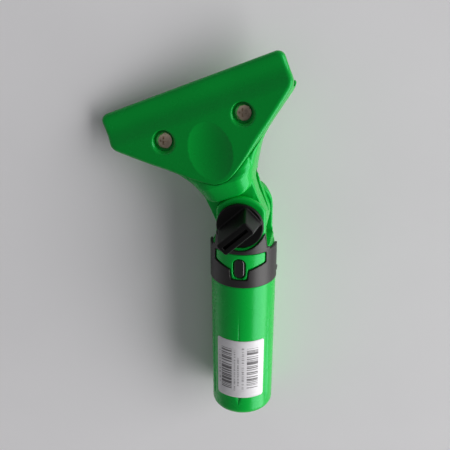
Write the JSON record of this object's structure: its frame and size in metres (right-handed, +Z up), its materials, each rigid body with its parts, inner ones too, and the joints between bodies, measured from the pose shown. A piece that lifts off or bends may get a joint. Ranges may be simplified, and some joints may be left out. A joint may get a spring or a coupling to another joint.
{
  "type": "window squeegee handle",
  "caption": "Squeegee handle: fluted tube with a pole socket, black sleeve with a release button, and a swivelling triangular clamp head locked by a slotted black knob.",
  "frame": {"origin": "centre of the mouth of the pole socket, on its axis", "axes": "+Y along the handle from the socket's mouth to the head, level; +Z up, out of the surface the tool lies on, the side of the knob; +X to the right seen from above with the head away"},
  "size_m": [0.1029, 0.2132, 0.0486],
  "materials": {
    "green_plastic": "moulded, satin",
    "black_plastic": "moulded, fine matt grain",
    "knob_plastic": "moulded, satin",
    "button_plastic": "gloss",
    "spring_steel": "rolled strip",
    "steel": "bright zinc",
    "screw_steel": "stainless",
    "brass": "turned",
    "disc_plastic": "dull"
  },
  "bodies": {
    "handle_body": {"handle": "green_plastic", "collar": "black_plastic", "button_spring": "spring_steel", "spring_rivet": "steel", "pivot_bolt": "steel", "friction_disc_front": "disc_plastic", "friction_disc_rear": "disc_plastic"},
    "button": {"release_button": "button_plastic"},
    "head": {"rear_jaw": "green_plastic", "pivot_bush": "brass", "clamp_nut_left": "steel", "clamp_nut_right": "steel"},
    "jaw": {"front_jaw": "green_plastic"},
    "screw_left": {"clamp_screw_left": "screw_steel"},
    "screw_right": {"clamp_screw_right": "screw_steel"},
    "washer": {"knob_washer": "steel"},
    "knob_body": {"knob": "knob_plastic", "knob_insert": "brass"}
  },
  "joints": [
    {"name": "head_swivel", "type": "hinge", "parent": "handle_body", "child": "head", "pos_m": [0, 0.12229, 0.00164], "axis": [-0.1532, -0.0133, 0.9881], "range_deg": [-112.9, 67.1]},
    {"name": "button_press", "type": "slide", "parent": "handle_body", "child": "button", "axis": [0.1532, 0.0133, -0.9881], "range_m": [0, 0.002], "stiffness_N_per_m": 500, "springref_m": -0.0005, "deforming": ["button_spring"]},
    {"name": "washer_slide", "type": "slide", "parent": "handle_body", "child": "washer", "axis": [-0.1532, -0.0133, 0.9881], "range_m": [0, 0.002]},
    {"name": "knob_turn", "type": "hinge", "parent": "washer", "child": "knob_body", "pos_m": [-0.0023, 0.12209, 0.01646], "axis": [-0.1532, -0.0133, 0.9881], "range_deg": [0, 720.1]},
    {"name": "jaw_open", "type": "slide", "parent": "head", "child": "jaw", "axis": [-0.2533, 0.2414, 0.9368], "range_m": [0, 0.002]},
    {"name": "screw_left_turn", "type": "hinge", "parent": "jaw", "child": "screw_left", "pos_m": [-0.04226, 0.1636, -0.00057], "axis": [-0.2533, 0.2414, 0.9368], "range_deg": [0, 1029]},
    {"name": "screw_right_turn", "type": "hinge", "parent": "jaw", "child": "screw_right", "pos_m": [-0.00075, 0.18126, 0.0061], "axis": [-0.2533, 0.2414, 0.9368], "range_deg": [0, 1029]}
  ],
  "couplings": [
    {"joint": "knob_turn", "follows": "washer_slide", "rad_per_m": 6283.2},
    {"joint": "screw_left_turn", "follows": "jaw_open", "rad_per_m": 8976},
    {"joint": "screw_right_turn", "follows": "jaw_open", "rad_per_m": 8976}
  ]
}
